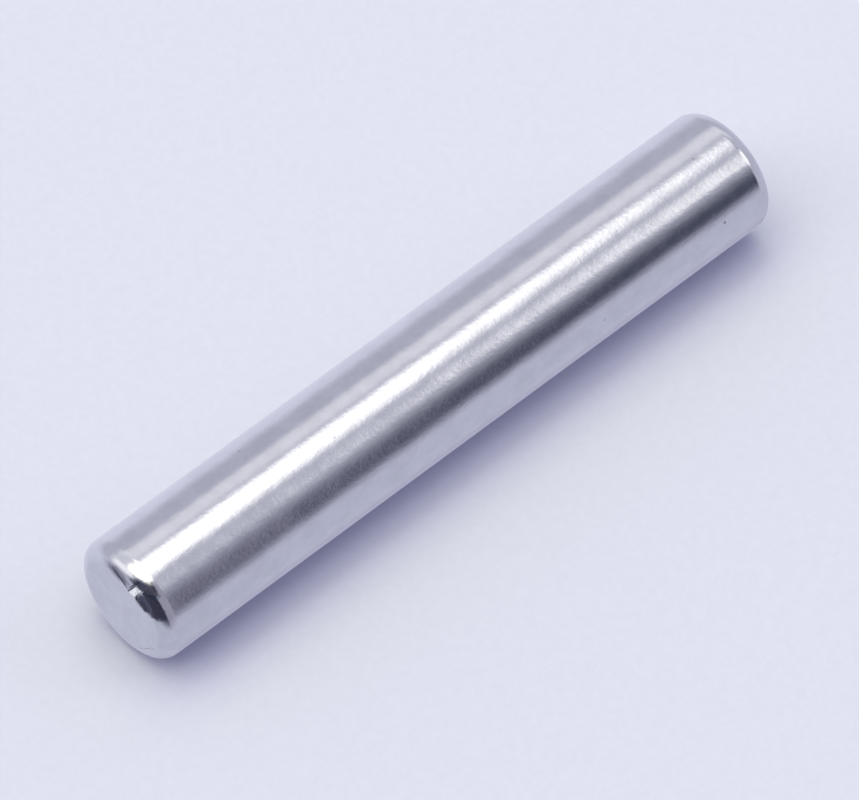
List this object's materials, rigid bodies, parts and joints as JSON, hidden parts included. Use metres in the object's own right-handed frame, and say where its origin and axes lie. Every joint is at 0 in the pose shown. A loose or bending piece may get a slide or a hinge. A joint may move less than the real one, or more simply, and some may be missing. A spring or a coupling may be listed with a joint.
{
  "type": "axle pin",
  "caption": "Plain cylindrical axle pin of polished steel, with a flat face and a rounded edge at each end.",
  "frame": {"origin": "centre of the lower end face, on which the pin stands", "axes": "+Z along the pin's axis, from the lower end to the upper end; X and Y are equal"},
  "size_m": [0.004, 0.004, 0.024],
  "materials": {
    "polished_steel": "polished, with a faint fine grain"
  },
  "bodies": {
    "root": {"axle_pin": "polished_steel"}
  },
  "joints": []
}
